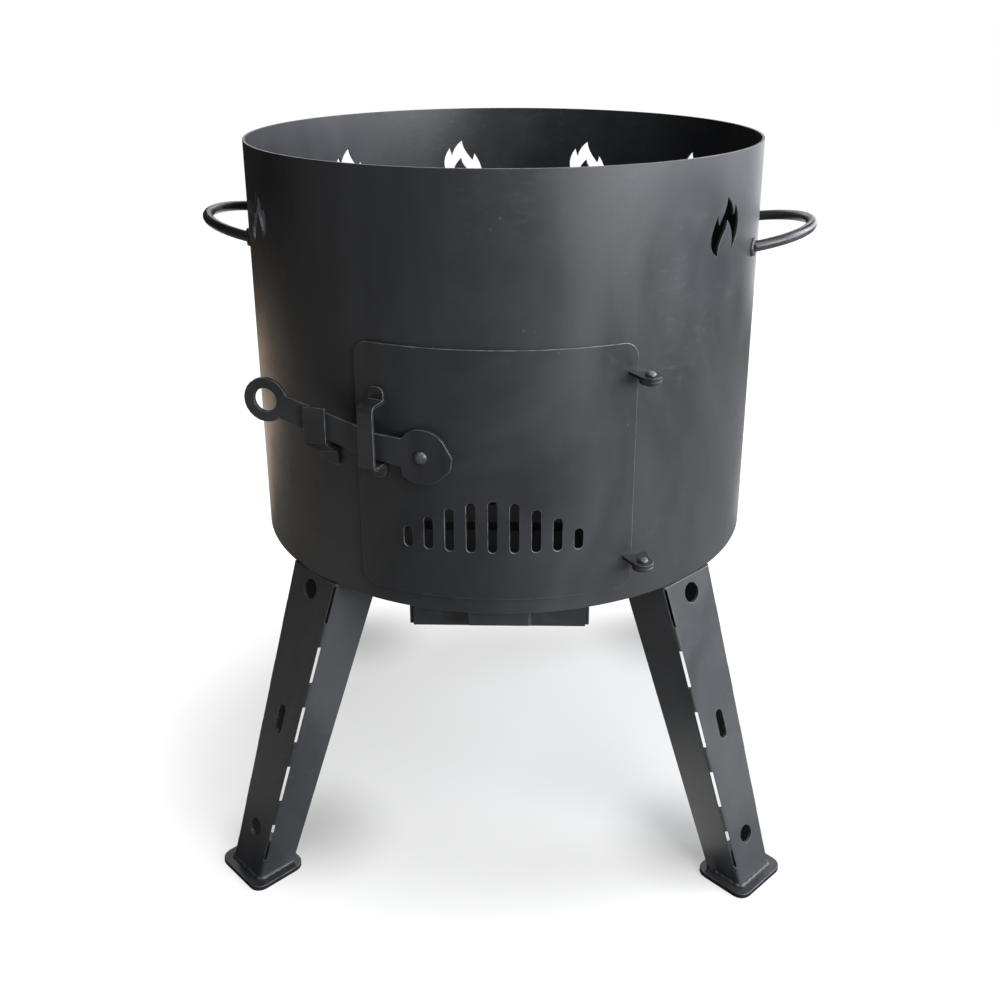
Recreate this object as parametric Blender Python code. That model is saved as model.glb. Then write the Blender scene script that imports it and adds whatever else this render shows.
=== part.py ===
# Cauldron stove: a rolled sheet-steel barrel on four folded legs, with a stoking door,
# a drop-in latch, a loose grate over the ash hole and a sliding ash tray.
# Metres, +Z up. The origin is on the floor under the barrel's axis, and the door faces -Y.
# An azimuth is measured from -Y towards +X.

import math

import bmesh
import bpy
from mathutils import Matrix, Vector

# Gaps and cutting
clearance = 0.0003
slide_clearance = 0.001
cut_overrun = 0.006

# Barrel
barrel_radius = 0.205
barrel_height = 0.320
barrel_wall = 0.002
barrel_turn_deg = -5.0
stand_height = 0.239
round_sides = 144

# Flame cut-outs round the rim
flame_width = 0.035
flame_height = 0.042
flame_rim_distance = 0.030
flame_azimuths_deg = (-162.5, -129, -56.5, 56.5, 129, 162.5)
flame_steps = 4
# cubic curves round the flame, each as two handles and an end, in shares of its width and height
flame_start_share = (-0.26, 0.0)
flame_curve_shares = (
    ((-0.60, 0.16), (-0.52, 0.40), (-0.30, 0.70)),
    ((-0.29, 0.64), (-0.27, 0.59), (-0.25, 0.54)),
    ((-0.13, 0.68), (0.00, 0.80), (0.02, 1.00)),
    ((0.14, 0.93), (0.26, 0.80), (0.28, 0.66)),
    ((0.30, 0.72), (0.33, 0.78), (0.34, 0.84)),
    ((0.54, 0.62), (0.58, 0.32), (0.23, 0.06)),
    ((0.30, 0.26), (0.24, 0.44), (0.04, 0.60)),
    ((0.05, 0.40), (-0.30, 0.28), (-0.26, 0.0)),
)

# Base plate and its ash hole
base_plate_thickness = 0.003
ash_hole_side = 0.112
ash_hole_corner = 0.010

# Grate
grate_side = 0.150
grate_corner = 0.020
grate_thickness = 0.008
grate_lip = 0.004
grate_slot_width = 0.008
grate_slot_length = 0.040
grate_slot_pitch = 0.0155
grate_slot_columns = 2
grate_slot_rows = 6
grate_rib = 0.012

# Door and the opening behind it
door_left_deg = -29.0
door_right_deg = 27.9
door_rise = 0.0125
door_height = 0.188
door_wall = 0.002
door_corner = 0.012
door_lap_side = 0.014
door_lap_top = 0.011
door_lap_bottom = 0.008
opening_corner = 0.010

# Air slots in the door
vent_count = 9
vent_width = 0.0065
vent_pitch = 0.0155
vent_height_side = 0.016
vent_height_middle = 0.040
vent_rise = 0.050
vent_turn_deg = -1.0

# Hinges
hinge_pin_turn_deg = 28.1
hinge_pin_reach = 0.0163
hinge_pin_radius = 0.0027
hinge_head_radius = 0.0040
hinge_head_height = 0.0028
hinge_eye_radius = 0.0078
hinge_ear_thickness = 0.0025
hinge_door_root = 0.0065
hinge_barrel_root = 0.013
hinge_root_step = 0.0012
hinge_upper_rise = 0.177
hinge_lower_rise = 0.0358

# Latch lever, its rivet and washer
latch_turn_deg = -14.5
latch_rise = 0.1222
lever_thickness = 0.003
lever_head_radius = 0.0205
lever_nose_reach = 0.0225
lever_nose_drop = 0.003
lever_nose_half = 0.0045
lever_nose_lean = 0.001
lever_nose_top_deg = 38.0
lever_nose_bottom_deg = -44.0
lever_notch_reach = 0.0145
lever_notch_top_deg = 118.0
lever_notch_bottom_deg = -134.0
lever_neck_width = 0.021
lever_bar_width = 0.0185
lever_knee_reach = 0.036
lever_knee_lift = 0.005
lever_ring_reach = 0.116
lever_ring_lift = 0.0315
lever_ring_radius = 0.0165
lever_ring_hole = 0.0087
latch_rivet_radius = 0.0030
latch_rivet_head = 0.0048
latch_rivet_head_height = 0.0026
latch_washer_radius = 0.008
latch_washer_thickness = 0.0012

# Latch guide on the door
guide_turn_deg = -23.8
guide_width = 0.0125
guide_thickness = 0.0025
guide_stand_off = 0.018
guide_below_pivot = 0.0085
guide_above_pivot = 0.0355
guide_foot_length = 0.012
guide_bend_radius = 0.0055
guide_foot_round_share = 0.42

# Latch keeper on the barrel
keeper_reach = 0.078
keeper_width = 0.017
keeper_thickness = 0.0025
keeper_bend_radius = 0.0045
keeper_arm_drop = 0.0145
keeper_face_height = 0.0295
keeper_foot_height = 0.0105

# Carrying handles
handle_bar_radius = 0.0042
handle_spread = 0.120
handle_reach = 0.0433
handle_tilt_deg = 10.6
handle_rise = 0.2432
handle_sides = 16
handle_steps = 22

# Legs
leg_azimuths_deg = (-135, -45, 45, 135)
leg_sheet = 0.0025
leg_top_overhang = 0.0005
leg_splay = 0.0815
leg_top_width = 0.057
leg_foot_width = 0.0395
leg_top_flange = 0.045
leg_foot_flange = 0.032
leg_bend_radius = 0.004
leg_bend_steps = 3
leg_tab_length = 0.034
leg_slot_count = 5
leg_slot_length = 0.0305
leg_slot_pitch = 0.050
leg_slot_start = 0.017
leg_slot_width = 0.0022
leg_access_radius = 0.008
leg_access_drop = 0.013
leg_lower_radius = 0.0068
leg_lower_drop = 0.213
leg_window_width = 0.008
leg_window_length = 0.024
leg_window_drop = 0.121

# Foot plates
foot_width = 0.0545
foot_length = 0.046
foot_thickness = 0.004
foot_corner = 0.009
foot_inset = 0.0154

# Leg bolts and nuts
bolt_radius = 0.004
bolt_inset = 0.0215
bolt_head_flats = 0.013
bolt_head_height = 0.0053
nut_height = 0.0065
bolt_end_margin = 0.003

# Ash tray, its front and pull
tray_width = 0.129
tray_length = 0.255
tray_wall = 0.0015
tray_height = 0.021
tray_front_setback = 0.028
tray_front_width = 0.130
tray_front_height = 0.0265
tray_front_thickness = 0.002
pull_width = 0.048
pull_reach = 0.018
pull_height = 0.013
pull_thickness = 0.002
pull_lift = 0.0105

# Rails under the base plate
rail_thickness = 0.0025
rail_top_flange = 0.012
rail_ledge = 0.008
rail_depth = 0.0262
rail_setback = 0.0006

# Steps of the arcs
corner_steps = 4
hole_sides = 24
small_sides = 16
dome_rings = 3

# Places worked out from the sizes above
barrel_top = stand_height + barrel_height
inner_radius = barrel_radius - barrel_wall
base_top = stand_height + base_plate_thickness
door_inner_radius = barrel_radius + clearance
door_outer_radius = door_inner_radius + door_wall
door_bottom = stand_height + door_rise
door_top = door_bottom + door_height
cut_outer_radius = barrel_radius + barrel_radius / 2
cut_inner_radius = barrel_radius / 2
pin_circle = barrel_radius + hinge_pin_reach
latch_height = stand_height + latch_rise
lever_back = door_outer_radius + clearance + latch_washer_thickness + clearance
lever_front = lever_back + lever_thickness
leg_top_reach = barrel_radius + leg_top_overhang
leg_foot_reach = leg_top_reach + leg_splay
bolt_reach = leg_top_reach - bolt_inset
tray_front_reach = barrel_radius - tray_front_setback


def clear_scene():
    """Starts from an empty file, whatever was open."""
    for old in list(bpy.data.objects):
        bpy.data.objects.remove(old)


def paint(name, colour, roughness, metallic):
    """A finish as a Principled material."""
    made = bpy.data.materials.new(name)
    made.use_nodes = True
    shader = made.node_tree.nodes["Principled BSDF"]
    shader.inputs["Base Color"].default_value = (*colour, 1)
    shader.inputs["Roughness"].default_value = roughness
    shader.inputs["Metallic"].default_value = metallic
    return made


def place(name, bm, finish, smooth_deg=35.0, parent=None, matrix=None):
    """Makes a piece from a bmesh that is modelled round its own origin, and sets it in place."""
    bmesh.ops.recalc_face_normals(bm, faces=bm.faces)
    mesh = bpy.data.meshes.new(name)
    bm.to_mesh(mesh)
    bm.free()
    mesh.shade_smooth()
    mesh.set_sharp_from_angle(angle=math.radians(smooth_deg))
    mesh.materials.append(finish)
    made = bpy.data.objects.new(name, mesh)
    bpy.context.scene.collection.objects.link(made)
    if parent is not None:
        made.parent = parent
    if matrix is not None:
        made.matrix_local = matrix
    return made


def cut(target, name, bm, operation="DIFFERENCE"):
    """Cuts a piece with a hidden cutter that shares its place, or joins the cutter to it."""
    bmesh.ops.recalc_face_normals(bm, faces=bm.faces)
    mesh = bpy.data.meshes.new(name)
    bm.to_mesh(mesh)
    bm.free()
    tool = bpy.data.objects.new(name, mesh)
    bpy.context.scene.collection.objects.link(tool)
    tool.parent = target
    tool.hide_render = True
    tool.display_type = "WIRE"
    change = target.modifiers.new(name, "BOOLEAN")
    change.operation = operation
    change.solver = "EXACT"
    change.object = tool
    return tool


def pivot(name, matrix, parent=None):
    """An empty on a joint's axis, which carries the pieces that move together."""
    made = bpy.data.objects.new(name, None)
    bpy.context.scene.collection.objects.link(made)
    made.parent = parent
    made.matrix_local = matrix
    bpy.context.view_layer.update()
    return made


def outward(azimuth):
    """The level direction away from the barrel's axis."""
    return Vector((math.sin(azimuth), -math.cos(azimuth), 0))


def sideways(azimuth):
    """The level direction along the barrel's wall, towards a larger azimuth."""
    return Vector((math.cos(azimuth), math.sin(azimuth), 0))


def wall_frame(azimuth, radius, height):
    """A frame on the wall: its X runs along the wall, its Y points away from it and its Z up."""
    x, y = sideways(azimuth), outward(azimuth)
    z = Vector((0, 0, 1))
    # X, Z and -Y make a right-handed set, so the pieces are drawn with Y towards the barrel
    frame = Matrix((x, -y, z)).transposed().to_4x4()
    frame.translation = y * radius + z * height
    return frame


def arc(centre, radius, start, end, steps):
    """Points along an arc, both ends included."""
    angles = [start + (end - start) * n / steps for n in range(steps + 1)]
    return [(centre[0] + radius * math.cos(a), centre[1] + radius * math.sin(a)) for a in angles]


def rounded_box(width, height, radius, centre=(0, 0), steps=corner_steps):
    """The outline of a rectangle with round corners."""
    points = []
    for turn, (sx, sy) in enumerate(((1, 1), (-1, 1), (-1, -1), (1, -1))):
        middle = (centre[0] + sx * (width / 2 - radius), centre[1] + sy * (height / 2 - radius))
        points += arc(middle, radius, turn * math.pi / 2, (turn + 1) * math.pi / 2, steps)
    return points


def slot_outline(width, length, centre=(0, 0), steps=corner_steps):
    """The outline of a slot with round ends, its length along the second axis."""
    half = length / 2 - width / 2
    top = arc((centre[0], centre[1] + half), width / 2, 0, math.pi, steps)
    bottom = arc((centre[0], centre[1] - half), width / 2, math.pi, 2 * math.pi, steps)
    return top + bottom


def circle_outline(radius, centre=(0, 0), sides=hole_sides):
    """The outline of a round hole or disc."""
    return arc(centre, radius, 0, 2 * math.pi, sides)[:-1]


def prism(bm, outline, start, end, axis="Z"):
    """Adds a closed prism: an outline drawn square to an axis and pushed along it."""
    spots = {"Z": lambda p: (p[0], p[1], start), "Y": lambda p: (p[0], start, p[1])}
    spots["X"] = lambda p: (start, p[0], p[1])
    push = {"Z": (0, 0, end - start), "Y": (0, end - start, 0), "X": (end - start, 0, 0)}
    face = bm.faces.new([bm.verts.new(spots[axis](p)) for p in outline])
    made = bmesh.ops.extrude_face_region(bm, geom=[face], use_keep_orig=True)
    moved = [v for v in made["geom"] if isinstance(v, bmesh.types.BMVert)]
    bmesh.ops.translate(bm, verts=moved, vec=push[axis])
    return bm


def wall_prism(bm, outline):
    """Adds a cutter that narrows towards the barrel's axis. Its outline is in azimuth and height."""
    edge = []
    for azimuth, height in outline:
        spot = outward(azimuth) * cut_outer_radius
        edge.append(bm.verts.new((spot.x, spot.y, height)))
    face = bm.faces.new(edge)
    made = bmesh.ops.extrude_face_region(bm, geom=[face], use_keep_orig=True)
    moved = [v for v in made["geom"] if isinstance(v, bmesh.types.BMVert)]
    share = cut_inner_radius / cut_outer_radius
    bmesh.ops.scale(bm, verts=moved, vec=(share, share, 1))
    bmesh.ops.triangulate(bm, faces=[f for f in bm.faces if len(f.verts) > 4])
    return bm


def lathe(profile, sides=round_sides):
    """Turns a closed profile of radius and height points once round the vertical axis."""
    bm = bmesh.new()
    ring = [bm.verts.new((r, 0, z)) for r, z in profile]
    loop = [bm.edges.new((a, b)) for a, b in zip(ring, ring[1:] + ring[:1])]
    turn = {"cent": (0, 0, 0), "axis": (0, 0, 1), "angle": 2 * math.pi, "steps": sides}
    bmesh.ops.spin(bm, geom=ring + loop, use_merge=True, **turn)
    bmesh.ops.remove_doubles(bm, verts=bm.verts, dist=clearance / 30)
    return bm


def turned(profile, sides):
    """Turns an open profile whose two ends lie on the axis, such as a rivet's, into a solid."""
    bm = bmesh.new()
    line = [bm.verts.new((r, 0, z)) for r, z in profile]
    edges = [bm.edges.new((a, b)) for a, b in zip(line, line[1:])]
    turn = {"cent": (0, 0, 0), "axis": (0, 0, 1), "angle": 2 * math.pi, "steps": sides}
    bmesh.ops.spin(bm, geom=line + edges, use_merge=True, **turn)
    bmesh.ops.remove_doubles(bm, verts=bm.verts, dist=clearance / 30)
    return bm


def pipe_wall(inner, outer, bottom, top):
    """A straight round wall."""
    return lathe([(inner, bottom), (outer, bottom), (outer, top), (inner, top)])


def bezier(start, curves, steps):
    """Points along a chain of cubic curves that ends where it starts."""
    points, here = [], Vector(start)
    for first, second, last in curves:
        a, b, c = Vector(first), Vector(second), Vector(last)
        for n in range(steps):
            t = n / steps
            points.append(
                (1 - t) ** 3 * here + 3 * (1 - t) ** 2 * t * a + 3 * (1 - t) * t * t * b + t**3 * c
            )
        here = c
    return points


def on_wall(outline, azimuth, height, radius=barrel_radius):
    """Lays a flat outline on the barrel: lengths along the wall become angles."""
    return [(azimuth + x / radius, height + y) for x, y in outline]


def barrel_shell(finish):
    """The rolled wall, with the door opening and the flames cut through it."""
    shell = place("barrel_shell", pipe_wall(inner_radius, barrel_radius, stand_height, barrel_top), finish)
    left = math.radians(door_left_deg) + door_lap_side / barrel_radius
    right = math.radians(door_right_deg) - door_lap_side / barrel_radius
    bottom = door_bottom + door_lap_bottom
    top = door_top - door_lap_top
    width = (right - left) * barrel_radius
    outline = rounded_box(width, top - bottom, opening_corner)
    opening = on_wall(outline, (left + right) / 2, (top + bottom) / 2)
    cut(shell, "cut_opening", wall_prism(bmesh.new(), opening))
    flames = bmesh.new()
    start = Vector(flame_start_share)
    foot = barrel_top - flame_rim_distance - flame_height
    shape = [(p.x * flame_width, p.y * flame_height) for p in bezier(start, flame_curve_shares, flame_steps)]
    for azimuth_deg in flame_azimuths_deg:
        wall_prism(flames, on_wall(shape, math.radians(azimuth_deg + barrel_turn_deg), foot))
    cut(shell, "cut_flames", flames)


def base_plate(finish):
    """The barrel's floor: a disc with the square ash hole and the four bolt holes."""
    disc = prism(
        bmesh.new(),
        circle_outline(inner_radius - clearance, sides=round_sides),
        stand_height,
        base_top,
    )
    plate = place("base_plate", disc, finish)
    low, high = stand_height - cut_overrun, base_top + cut_overrun
    holes = prism(bmesh.new(), rounded_box(ash_hole_side, ash_hole_side, ash_hole_corner), low, high)
    for azimuth_deg in leg_azimuths_deg:
        spot = outward(math.radians(azimuth_deg)) * bolt_reach
        prism(holes, circle_outline(bolt_radius + clearance, spot, small_sides), low, high)
    cut(plate, "cut_base_holes", holes)


def grate(finish):
    """The loose grate: a thick plate with two columns of slots and a lip that drops into the ash hole."""
    bottom = base_top + clearance
    body = prism(bmesh.new(), rounded_box(grate_side, grate_side, grate_corner), 0, grate_thickness)
    frame = Matrix.Translation((0, 0, bottom))
    piece = place("grate", body, finish, matrix=frame)
    lip_side = ash_hole_side - 2 * slide_clearance
    lip = prism(
        bmesh.new(), rounded_box(lip_side, lip_side, ash_hole_corner), -grate_lip, grate_thickness / 2
    )
    cut(piece, "join_grate_lip", lip, "UNION")
    slots = bmesh.new()
    step = grate_slot_length + grate_rib
    for column in range(grate_slot_columns):
        x = (column - (grate_slot_columns - 1) / 2) * step
        for row in range(grate_slot_rows):
            y = (row - (grate_slot_rows - 1) / 2) * grate_slot_pitch
            outline = [(x + b, y + a) for a, b in slot_outline(grate_slot_width, grate_slot_length)]
            prism(slots, outline, -grate_lip - cut_overrun, grate_thickness + cut_overrun)
    cut(piece, "cut_grate_slots", slots)


def door_panel(finish, door):
    """The stoking door: a rolled plate over the opening, with a fan of plain air slots."""
    bm = pipe_wall(door_inner_radius, door_outer_radius, door_bottom, door_top)
    bmesh.ops.transform(bm, matrix=door.matrix_local.inverted(), verts=bm.verts)
    panel = place("door_panel", bm, finish, parent=door)
    left, right = math.radians(door_left_deg), math.radians(door_right_deg)
    width = (right - left) * door_outer_radius
    outline = rounded_box(width, door_height, door_corner)
    outline = on_wall(outline, (left + right) / 2, (door_bottom + door_top) / 2, door_outer_radius)
    blank = wall_prism(bmesh.new(), outline)
    bmesh.ops.transform(blank, matrix=door.matrix_local.inverted(), verts=blank.verts)
    cut(panel, "trim_door", blank, "INTERSECT")
    vents = bmesh.new()
    for n in range(vent_count):
        along = (n - (vent_count - 1) / 2) / ((vent_count - 1) / 2)
        swell = math.cos(along * math.pi / 2)
        height = vent_height_side + (vent_height_middle - vent_height_side) * swell
        x = along * vent_pitch * (vent_count - 1) / 2
        outline = slot_outline(vent_width, height, (x, height / 2))
        foot = stand_height + vent_rise
        wall_prism(vents, on_wall(outline, math.radians(vent_turn_deg), foot, door_outer_radius))
    bmesh.ops.transform(vents, matrix=door.matrix_local.inverted(), verts=vents.verts)
    cut(panel, "cut_vents", vents)


def ear_outline(root_radius, root_start, root_end):
    """A hinge ear from above, round its pin: a round eye that widens to a root on a curved wall."""
    pin_azimuth = math.radians(hinge_pin_turn_deg)
    pin = outward(pin_azimuth) * pin_circle
    steps = corner_steps
    turns = [root_start + (root_end - root_start) * n / steps for n in range(steps + 1)]
    root = [outward(a) * root_radius - pin for a in turns]
    first, last = root[0], root[-1]

    def tangent(point, side):
        """The angle at which a line from a point just touches the eye."""
        away = math.atan2(point.y, point.x)
        return away + side * math.acos(hinge_eye_radius / point.length)

    start, end = tangent(last, -1), tangent(first, 1)
    if end > start:
        end -= 2 * math.pi
    eye = arc((0, 0), hinge_eye_radius, start, end, 3 * corner_steps)
    return [(p.x, p.y) for p in root] + eye


def hinge(name, finish, rise, door):
    """One hinge: the door's ear lies on the barrel's ear, and a domed pin goes through both."""
    pin_azimuth = math.radians(hinge_pin_turn_deg)
    pin = outward(pin_azimuth) * pin_circle
    joint = stand_height + rise
    step = hinge_root_step / barrel_radius
    door_end = math.radians(door_right_deg) - step
    shell_start = pin_azimuth + step
    half = clearance / 2
    on_shell = Matrix.Translation((pin.x, pin.y, joint))
    on_door = Matrix.Translation((0, 0, joint))
    levels = {
        "shell": (-half - hinge_ear_thickness, -half),
        "door": (half, half + hinge_ear_thickness),
    }
    shell_end = shell_start + hinge_barrel_root / barrel_radius
    door_start = door_end - hinge_door_root / barrel_radius
    shell_ear = ear_outline(barrel_radius + clearance, shell_start, shell_end)
    door_ear = ear_outline(door_outer_radius + clearance, door_start, door_end)
    shell = place(
        f"hinge_{name}_ear_barrel", prism(bmesh.new(), shell_ear, *levels["shell"]), finish, matrix=on_shell
    )
    leaf = place(
        f"hinge_{name}_ear_door",
        prism(bmesh.new(), door_ear, *levels["door"]),
        finish,
        parent=door,
        matrix=on_door,
    )
    for piece, level in ((shell, levels["shell"]), (leaf, levels["door"])):
        hole = circle_outline(hinge_pin_radius + clearance, sides=small_sides)
        cut(piece, f"cut_{piece.name}", prism(bmesh.new(), hole, level[0] - cut_overrun, level[1] + cut_overrun))
    low = levels["shell"][0] - clearance
    high = levels["door"][1] + clearance
    place(f"hinge_{name}_pin", rivet(hinge_pin_radius, hinge_head_radius, hinge_head_height, low, high), finish,
          matrix=on_shell)


def rivet(radius, head, height, low, high):
    """A rivet that stands on its axis: a domed head above, a shank and a flat closing head below."""
    dome = [
        (head * math.cos(n / dome_rings * math.pi / 2), high + height * math.sin(n / dome_rings * math.pi / 2))
        for n in range(1, dome_rings)
    ]
    profile = [(0, low - height / 2), (head, low - height / 2), (head, low), (radius, low), (radius, high)]
    return turned(profile + [(head, high)] + dome + [(0, high + height)], small_sides)


def lever_outline():
    """The latch lever from outside, round its pivot, with the ring at -X, drawn clockwise."""
    neck, bar = lever_neck_width / 2, lever_bar_width / 2
    knee = Vector((-lever_knee_reach, lever_knee_lift))
    ring = Vector((-lever_ring_reach, lever_ring_lift))
    along = (ring - knee).normalized()
    up = Vector((along.y, -along.x))
    notch_middle = lever_knee_lift * lever_notch_reach / lever_knee_reach
    top = arc((0, 0), lever_head_radius, math.radians(lever_notch_top_deg),
              math.radians(lever_nose_top_deg), 2 * corner_steps)
    nose = [
        (lever_nose_reach, -lever_nose_drop + lever_nose_half),
        (lever_nose_reach - lever_nose_lean, -lever_nose_drop - lever_nose_half),
    ]
    bottom = arc((0, 0), lever_head_radius, math.radians(lever_nose_bottom_deg),
                 math.radians(lever_notch_bottom_deg), 2 * corner_steps)
    lower_notch = (-lever_notch_reach, notch_middle - neck)
    upper_notch = (-lever_notch_reach, notch_middle + neck)
    lean = math.atan2(along.y, along.x)
    half = math.asin(bar / lever_ring_radius)
    loop = arc(ring, lever_ring_radius, lean - math.pi - half, lean - 3 * math.pi + half, 5 * corner_steps)
    knee_top = knee + up * (neck + bar) / 2
    knee_low = knee - up * (neck + bar) / 2
    return top + nose + bottom + [lower_notch, tuple(knee_low)] + loop + [tuple(knee_top), upper_notch]


def latch(finish, bright, door):
    """The drop latch: a flat lever with a pull ring, riveted to the door over a washer."""
    turn = math.radians(latch_turn_deg)
    frame = wall_frame(turn, 0, latch_height)
    on_door = door.matrix_local.inverted() @ frame
    lever_pivot = pivot("latch_pivot", on_door, door)
    lever = prism(bmesh.new(), lever_outline(), -lever_front, -lever_back, "Y")
    piece = place("latch_lever", lever, finish, parent=lever_pivot)
    ring = (-lever_ring_reach, lever_ring_lift)
    holes = prism(
        bmesh.new(), circle_outline(lever_ring_hole, ring), -lever_front - cut_overrun, -lever_back + cut_overrun, "Y"
    )
    shank = circle_outline(latch_rivet_radius + clearance, sides=small_sides)
    prism(holes, shank, -lever_front - cut_overrun, -lever_back + cut_overrun, "Y")
    cut(piece, "cut_lever_holes", holes)
    washer_back = door_outer_radius + clearance
    washer = prism(
        bmesh.new(), circle_outline(latch_washer_radius), -washer_back - latch_washer_thickness, -washer_back, "Y"
    )
    disc = place("latch_washer", washer, bright, parent=door, matrix=on_door)
    cut(disc, "cut_washer", prism(bmesh.new(), shank, -lever_back - cut_overrun, -washer_back + cut_overrun, "Y"))
    bm = rivet(
        latch_rivet_radius,
        latch_rivet_head,
        latch_rivet_head_height,
        door_inner_radius - clearance,
        lever_front + clearance,
    )
    bmesh.ops.rotate(bm, verts=bm.verts, matrix=Matrix.Rotation(math.pi / 2, 3, "X"))
    place("latch_rivet", bm, finish, parent=door, matrix=on_door)
    panel = bpy.data.objects["door_panel"]
    hole = prism(bmesh.new(), shank, -lever_back, -door_inner_radius + cut_overrun, "Y")
    bmesh.ops.transform(hole, matrix=on_door, verts=hole.verts)
    cut(panel, "cut_rivet_hole", hole)


def latch_guide(finish, door):
    """The staple on the door that the lever runs in: a bent strap with a rounded foot at each end."""
    foot_plane = door_outer_radius + clearance
    frame = door.matrix_local.inverted() @ wall_frame(math.radians(guide_turn_deg), foot_plane, latch_height)
    t = guide_thickness
    reach = guide_stand_off
    bend = guide_bend_radius
    low, high = -guide_below_pivot, guide_above_pivot
    # outside of the strap from foot to foot, then back along its inside; Y is the stand-off
    low_bend, high_bend = (-reach + bend, low - t + bend), (-reach + bend, high + t - bend)
    outer = [(0, low - guide_foot_length), (-t, low - guide_foot_length), (-t, low - t)]
    outer += arc(low_bend, bend, -math.pi / 2, -math.pi, corner_steps)
    outer += arc(high_bend, bend, -math.pi, -3 * math.pi / 2, corner_steps)
    outer += [(-t, high + t), (-t, high + guide_foot_length), (0, high + guide_foot_length)]
    inner = [(0, high)]
    inner += arc(high_bend, bend - t, -3 * math.pi / 2, -math.pi, corner_steps)
    inner += arc(low_bend, bend - t, -math.pi, -math.pi / 2, corner_steps)
    inner += [(0, low)]
    bm = prism(bmesh.new(), outer + inner, -guide_width / 2, guide_width / 2, "X")
    ends = [
        e for e in bm.edges
        if abs(e.verts[0].co.x - e.verts[1].co.x) < clearance
        and abs(e.verts[0].co.z - e.verts[1].co.z) < clearance
        and not low - guide_foot_length / 2 < e.verts[0].co.z < high + guide_foot_length / 2
    ]
    bmesh.ops.bevel(
        bm, geom=ends, offset=guide_width * guide_foot_round_share, affect="EDGES", segments=corner_steps, profile=0.5, material=-1
    )
    place("latch_guide", bm, finish, parent=door, matrix=frame)


def lever_underside(reach):
    """The height of the lever's lower edge, from its pivot, at a distance along it."""
    run, rise = lever_ring_reach - lever_knee_reach, lever_ring_lift - lever_knee_lift
    half = (lever_neck_width + lever_bar_width) / 4 * math.hypot(run, rise) / run
    return lever_knee_lift + (reach - lever_knee_reach) * rise / run - half


def latch_keeper(finish):
    """The hook on the barrel that the lever drops into: a face, an arm that slopes to the wall, and a foot."""
    frame = wall_frame(math.radians(latch_turn_deg), 0, latch_height)
    t, inner_bend = keeper_thickness, keeper_bend_radius - keeper_thickness
    face_inner = lever_front + 2 * clearance
    near = keeper_reach - keeper_width / 2
    wall = math.sqrt(barrel_radius**2 - keeper_reach**2)
    near_wall = math.sqrt(barrel_radius**2 - near**2)
    slope = math.atan2(keeper_arm_drop, face_inner - wall)
    bend = Vector((-face_inner + inner_bend, lever_underside(near) - clearance))
    down = Vector((-math.sin(slope), -math.cos(slope)))
    on_top = bend + down * inner_bend

    def arm_top(y):
        """The height of the arm's upper side at a distance from the barrel's axis."""
        return on_top.y - (y - on_top.x) * math.tan(slope)

    deep = -barrel_radius / 2
    face_top = bend.y - keeper_bend_radius + keeper_face_height
    turn = -math.pi / 2 - slope
    outline = [(deep, arm_top(deep) - t / math.cos(slope))]
    outline += arc(bend, keeper_bend_radius, turn, -math.pi, corner_steps)
    outline += [(-face_inner - t, face_top), (-face_inner, face_top)]
    outline += arc(bend, inner_bend, -math.pi, turn, corner_steps)
    outline += [(deep, arm_top(deep))]
    left, right = -keeper_reach - keeper_width / 2, -keeper_reach + keeper_width / 2
    hook = place("latch_keeper", prism(bmesh.new(), outline, left, right, "X"), finish, matrix=frame)
    # the foot is a short stretch of wall outside the barrel, as wide as the hook
    foot_top = arm_top(-near_wall) - t / 2
    foot_low = foot_top - keeper_foot_height
    seat = barrel_radius + clearance
    foot = pipe_wall(seat, seat + t, latch_height + foot_low, latch_height + foot_top)
    bmesh.ops.transform(foot, matrix=frame.inverted(), verts=foot.verts)
    core = lathe_disc(seat, stand_height, latch_height)
    bmesh.ops.transform(core, matrix=frame.inverted(), verts=core.verts)
    cut(hook, "cut_keeper_wall", core)
    middle = (-keeper_reach, (foot_top + foot_low) / 2)
    blank = prism(
        bmesh.new(),
        rounded_box(keeper_width, keeper_foot_height + t, t, middle),
        -seat - 2 * t,
        deep,
        "Y",
    )
    strip = place("join_keeper_foot", foot, finish, matrix=frame)
    strip.hide_render = True
    strip.display_type = "WIRE"
    cut(strip, "trim_keeper_foot", blank, "INTERSECT")
    change = hook.modifiers.new("join_keeper_foot", "BOOLEAN")
    change.operation = "UNION"
    change.solver = "EXACT"
    change.object = strip


def lathe_disc(radius, bottom, top):
    """A plain round plug with the barrel's own facets."""
    return turned([(0, bottom), (radius, bottom), (radius, top), (0, top)], round_sides)


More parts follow.
